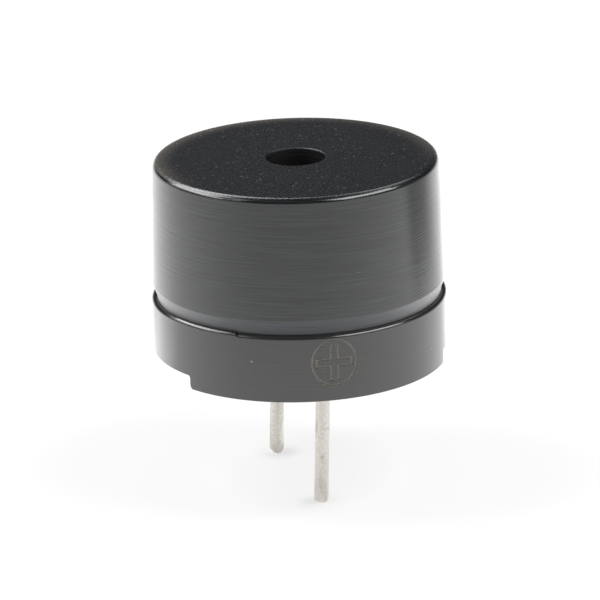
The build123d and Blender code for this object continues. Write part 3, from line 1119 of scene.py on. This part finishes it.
class SPEAKER_OT_set_studio(Operator):
    """Set up the floor, the backdrop, the soft boxes and the camera"""

    bl_idname = "speaker.set_studio"
    bl_label = "Set up the studio"

    def execute(self, context):
        studio = context.scene.speaker_studio
        context.scene.view_settings.view_transform = "Standard"
        self.lay_floor(studio)
        self.light_room(context, studio)
        self.hang_lamps(studio)
        self.place_camera(context, studio)
        return {"FINISHED"}

    def lay_floor(self, studio):
        """Lay a pale floor that the pins stand on, and that glows a little."""
        select_only()
        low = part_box("pin_negative")[0]
        bpy.ops.mesh.primitive_plane_add(size=studio.floor_size, location=(0, 0, low.z))
        floor = bpy.context.object
        floor.name = "floor"
        bpy.ops.object.transform_apply(location=True)
        material = bpy.data.materials.new("pale_floor")
        material.use_nodes = True
        cloth = Tree(material.node_tree)
        cloth.tree.nodes.clear()
        where = cloth.use("Where")
        from_pin, at_pin = 1.2, 0.4
        under_edge, under_middle = 6.0, 1.0
        away_starts, away_ends = 9.0, 15.0
        apart = self.from_pin_ends(cloth, where["Place"])
        contact = cloth.ramp(apart, from_pin, at_pin, 0.0, studio.floor_contact)
        white = cloth.plus(studio.floor_white, contact)
        most = studio.floor_lift + studio.floor_middle
        lift = cloth.ramp(where["Out"], under_edge, under_middle, studio.floor_lift, most)
        # The glow is lowered round the pin ends by about what the extra reflectance gives back where the
        # fills reach, so the pins' shadows show darker: partly real shadow, partly painted shade.
        lift = cloth.maths("SUBTRACT", lift, cloth.times(contact, studio.floor_reached))
        lift = cloth.plus(lift, cloth.ramp(where["Out"], away_starts, away_ends, 0.0, studio.floor_far))
        seen = cloth.place("LightPath").outputs["Is Camera Ray"]
        glow = cloth.mix(seen, self.floor_glow(cloth, where, studio), lift)
        matt = cloth.place("BsdfDiffuse", {"Color": white}).outputs[0]
        light = cloth.place("Emission", {"Color": glow}).outputs[0]
        lit = cloth.place("AddShader", {0: matt, 1: light}).outputs[0]
        clear = cloth.place("BsdfTransparent").outputs[0]
        below = cloth.place("NewGeometry").outputs["Backfacing"]
        shown = cloth.place("MixShader", {0: below, 1: lit, 2: clear}).outputs[0]
        cloth.place("OutputMaterial", {"Surface": shown})
        floor.data.materials.append(material)

    def from_pin_ends(self, cloth, position):
        """Distance of the floor from the end of the nearer pin."""
        low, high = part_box("pin_negative")
        radius = (high.y - low.y) / 2
        spread = cloth.vector("ADD", position, Vector((-low.x - radius, 0, 0)) / MM)
        spread = cloth.vector("ABSOLUTE", spread)
        return cloth.vector("DISTANCE", spread, Vector((0, low.y + radius, -low.z)) / MM)

    def floor_glow(self, cloth, where, studio):
        """How bright the floor looks in the object, by its bearing from the camera and its distance."""

        def sweep(turn, span):
            return cloth.ramp(turn, *(radians(end) for end in span))

        # Bearings, in degrees from the camera's own round to the right.
        leaning = 6
        beside, behind, corner_span = (12, 85), (115, 165), (120, 150)
        shade_patch_starts, shade_patch_ends = (88, 100), (138, 112)
        # Distances in millimetres.
        approach, approach_aside = (45.0, 20.0), (70.0, 40.0)
        under_span, shade_patch_span, pool_span = (3.0, 12.0), (30.0, 44.0), (7.5, 6.9)

        turned = cloth.place(
            "VectorRotate", {"Vector": where["Place"], "Angle": -studio.azimuth}, rotation_type="Z_AXIS"
        ).outputs[0]
        axes = cloth.axes(turned)
        bearing = cloth.maths("ARCTAN2", axes[0], cloth.times(axes[1], -1.0))
        aside = cloth.maths("ABSOLUTE", cloth.plus(bearing, radians(leaning)))
        reach = where["Out"]
        front = cloth.ramp(reach, *approach, studio.floor_front, studio.floor_near)
        back = cloth.ramp(reach, *approach, studio.floor_behind, studio.floor_back)
        corner = cloth.ramp(reach, *approach, studio.floor_corner, studio.floor_nook)
        back = cloth.mix(sweep(bearing, corner_span), back, corner)
        side = cloth.ramp(reach, *approach_aside, studio.floor_aside, studio.floor_side)
        side = cloth.mix(sweep(aside, behind), side, back)
        glow = cloth.mix(sweep(aside, beside), front, side)
        under = cloth.ramp(reach, *under_span, studio.floor_under, 1.0)
        # No card stands there: the floor's glow is painted darker behind and to the right, a painted shade
        # that the object mirrors.
        shade_patch = cloth.times(sweep(bearing, shade_patch_starts), sweep(bearing, shade_patch_ends))
        shade_patch = cloth.times(shade_patch, cloth.ramp(reach, *shade_patch_span), studio.floor_shade_patch)
        shade = cloth.maths("SUBTRACT", 1.0, shade_patch)
        middle = Vector((-studio.pool_left, studio.pool_behind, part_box("pin_negative")[0].z)) / MM
        pool = cloth.ramp(cloth.vector("DISTANCE", turned, middle), *pool_span, 0.0, studio.floor_pool)
        return cloth.times(glow, under, shade, cloth.plus(1.0, pool))

    def light_room(self, context, studio):
        """Make the room pale near the horizon and dark above."""
        world = bpy.data.worlds.new("studio_room")
        context.scene.world = world
        world.use_nodes = True
        room = Tree(world.node_tree)
        room.tree.nodes.clear()
        horizon_ends, ceiling_starts = sin(radians(2)), sin(radians(9))
        height = room.axes(room.place("TexCoord").outputs["Generated"])[2]
        dark = room.ramp(height, horizon_ends, ceiling_starts, studio.horizon, studio.ceiling)
        soft = room.place("LightPath").outputs["Is Diffuse Ray"]
        glow = room.mix(soft, dark, studio.fill)
        background = room.place("Background", {"Color": (1.0, 1.0, 1.0), "Strength": glow})
        room.place("OutputWorld", {"Surface": background.outputs[0]})

    def hang_lamps(self, studio):
        """Hang the soft boxes that show as highlights, and the two that light the matt surfaces."""
        box = partial(self.hang_lamp, studio)
        box("left_box", bearing=-108, elevation=45, width=0.7, height=0.4, brightness=7.5)
        box("left_low_box", bearing=-94, elevation=27, width=0.84, height=0.28, brightness=5.6)
        box("left_front_box", bearing=-54, elevation=40, width=0.14, height=0.36, brightness=3.0)
        box("right_low_box", bearing=63, elevation=38, width=0.74, height=0.4, brightness=9.0)
        box("back_left_box", bearing=-150, elevation=50, width=0.5, height=0.4, brightness=7.0)
        box("back_right_box", bearing=148, elevation=52, width=0.4, height=0.3, brightness=3.5)
        fill = partial(box, width=0.28, height=0.28, brightness=13.3, fills=True)
        fill("left_fill", bearing=-92, elevation=58)
        fill("right_fill", bearing=68, elevation=60)

    def hang_lamp(self, studio, name, bearing, elevation, width, height, brightness, fills=False):
        """Hang one soft box, facing the object: one that fills lights matt surfaces, another only shows."""
        turn = studio.azimuth + radians(bearing)
        rise = radians(elevation)
        direction = Vector((sin(turn) * cos(rise), -cos(turn) * cos(rise), sin(rise)))
        lamp = bpy.data.lights.new(name, "AREA")
        lamp.shape = "RECTANGLE"
        lamp.size, lamp.size_y = width, height
        lamp.energy = brightness * pi * width * height
        box = bpy.data.objects.new(name, lamp)
        box.location = direction * studio.lamp_distance
        box.rotation_euler = (-direction).to_track_quat("-Z", "Y").to_euler()
        box.visible_camera = False
        box.visible_diffuse = fills
        box.visible_glossy = not fills
        bpy.context.scene.collection.objects.link(box)

    def place_camera(self, context, studio):
        """Place the camera at the viewing angle."""
        turn = Matrix.Rotation(studio.azimuth, 3, "Z")
        rise, roll = studio.elevation, studio.roll
        forward = turn @ Vector((0, cos(rise), -sin(rise)))
        across = turn @ Vector((1, 0, 0))
        upright = turn @ Vector((0, sin(rise), cos(rise)))
        right = cos(roll) * across + sin(roll) * upright
        up = -sin(roll) * across + cos(roll) * upright
        target = Vector((0, 0, studio.target_height)) + studio.shift_right * right - studio.shift_down * up
        camera = bpy.data.objects.new("camera", bpy.data.cameras.new("camera"))
        camera.data.lens = studio.lens
        camera.data.clip_start = 0.01
        facing = Matrix((right, up, -forward)).transposed().to_4x4()
        camera.matrix_world = Matrix.Translation(target - studio.distance * forward) @ facing
        context.scene.collection.objects.link(camera)
        context.scene.camera = camera


class SPEAKER_PT_sidebar(Panel):
    """The steps that make the speaker, and its sizes"""

    bl_idname = "SPEAKER_PT_sidebar"
    bl_label = "Mini speaker"
    bl_space_type = "VIEW_3D"
    bl_region_type = "UI"
    bl_category = "Mini speaker"

    def draw(self, context):
        for operator in OPERATORS:
            self.layout.operator(operator.bl_idname)
        for group_name, group in GROUPS.items():
            box = self.layout.box()
            for name in group.__annotations__:
                box.prop(getattr(context.scene, group_name), name)


OPERATORS = (
    SPEAKER_OT_mix_finishes,
    SPEAKER_OT_model_cap,
    SPEAKER_OT_model_base_ring,
    SPEAKER_OT_engrave_polarity_mark,
    SPEAKER_OT_model_pins,
    SPEAKER_OT_pour_resin,
    SPEAKER_OT_finish_inner_pieces,
    SPEAKER_OT_set_studio,
)
CLASSES = (*GROUPS.values(), *OPERATORS, SPEAKER_PT_sidebar)


def register():
    for each in CLASSES:
        bpy.utils.register_class(each)
    for name, group in GROUPS.items():
        setattr(bpy.types.Scene, name, PointerProperty(type=group))


def unregister():
    for name in GROUPS:
        delattr(bpy.types.Scene, name)
    for each in reversed(CLASSES):
        bpy.utils.unregister_class(each)


def main():
    """Make the speaker and its studio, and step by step."""
    register()
    bpy.ops.speaker.mix_finishes()
    bpy.ops.speaker.model_cap()
    bpy.ops.speaker.model_base_ring()
    bpy.ops.speaker.engrave_polarity_mark()
    bpy.ops.speaker.model_pins()
    bpy.ops.speaker.pour_resin()
    bpy.ops.speaker.finish_inner_pieces()
    bpy.ops.speaker.set_studio()


if __name__ == "__main__":
    main()
